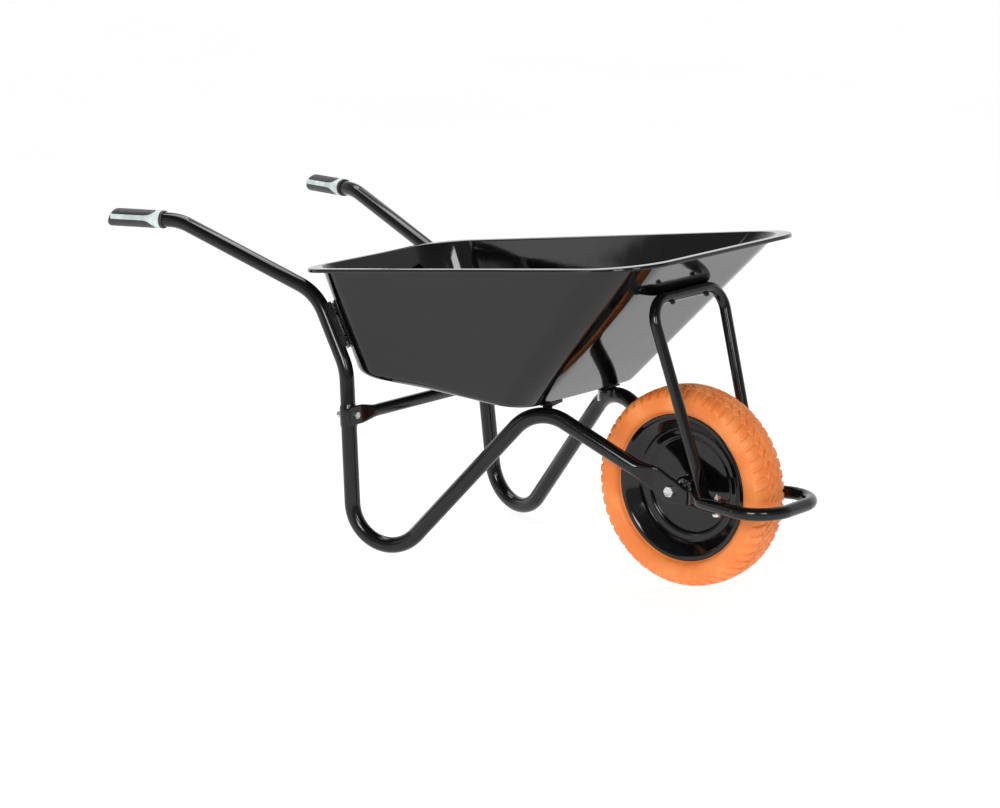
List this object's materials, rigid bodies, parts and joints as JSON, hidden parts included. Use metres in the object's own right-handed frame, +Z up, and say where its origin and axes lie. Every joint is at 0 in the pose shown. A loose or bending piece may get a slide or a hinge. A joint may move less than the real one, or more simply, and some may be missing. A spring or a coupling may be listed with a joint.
{
  "type": "wheelbarrow",
  "caption": "Builder's wheelbarrow with a pressed steel tray on a bent tube frame and a solid tyre that turns on ball bearings.",
  "frame": {"origin": "on the ground, under the middle of the whole object", "axes": "+X forward from the grips to the wheel, +Y to the operator's left, +Z up"},
  "size_m": [1.5009, 0.6484, 0.6619],
  "materials": {
    "tray_enamel": "gloss",
    "frame_enamel": "gloss",
    "rim_enamel": "gloss",
    "tyre_foam": "satin",
    "grip_rubber": "matt",
    "grip_inlay": "satin",
    "zinc": "zinc plated",
    "black_fastener": "satin",
    "bearing_steel": "bright"
  },
  "bodies": {
    "frame": {"tray": "tray_enamel", "handle_tube_right": "frame_enamel", "handle_tube_left": "frame_enamel", "grip_right": "grip_rubber", "grip_left": "grip_rubber", "grip_inlay_right": "grip_inlay", "grip_inlay_left": "grip_inlay", "leg_frame_right": "frame_enamel", "leg_frame_left": "frame_enamel", "nose_hoop": "frame_enamel", "front_stay": "frame_enamel", "cross_brace": "frame_enamel", "rear_tray_bracket_right": "frame_enamel", "rear_tray_bracket_left": "frame_enamel", "saddle_bracket_right": "frame_enamel", "saddle_bracket_left": "frame_enamel", "axle_bolt": "zinc", "axle_nut": "zinc", "axle_spacers": "black_fastener", "bearing_spacer": "bearing_steel", "bearing_inner_races": "bearing_steel", "joint_bolts": "zinc", "joint_nuts": "zinc", "stay_foot_bolts": "zinc", "stay_foot_nuts": "zinc", "stay_top_bolts": "black_fastener", "stay_top_nuts": "black_fastener", "rear_tray_bolts": "black_fastener", "rear_tray_nuts": "black_fastener", "saddle_bolts": "zinc", "saddle_nuts": "zinc"},
    "wheel": {"tyre": "tyre_foam", "rim_half_right": "rim_enamel", "rim_half_left": "rim_enamel", "hub_tube": "rim_enamel", "bearing_outer_races": "bearing_steel", "bearing_balls": "bearing_steel"}
  },
  "joints": [
    {"name": "wheel_spin", "type": "hinge", "parent": "frame", "child": "wheel", "pos_m": [0.496, 0, 0.195], "axis": [0, 1, 0], "continuous": true}
  ]
}
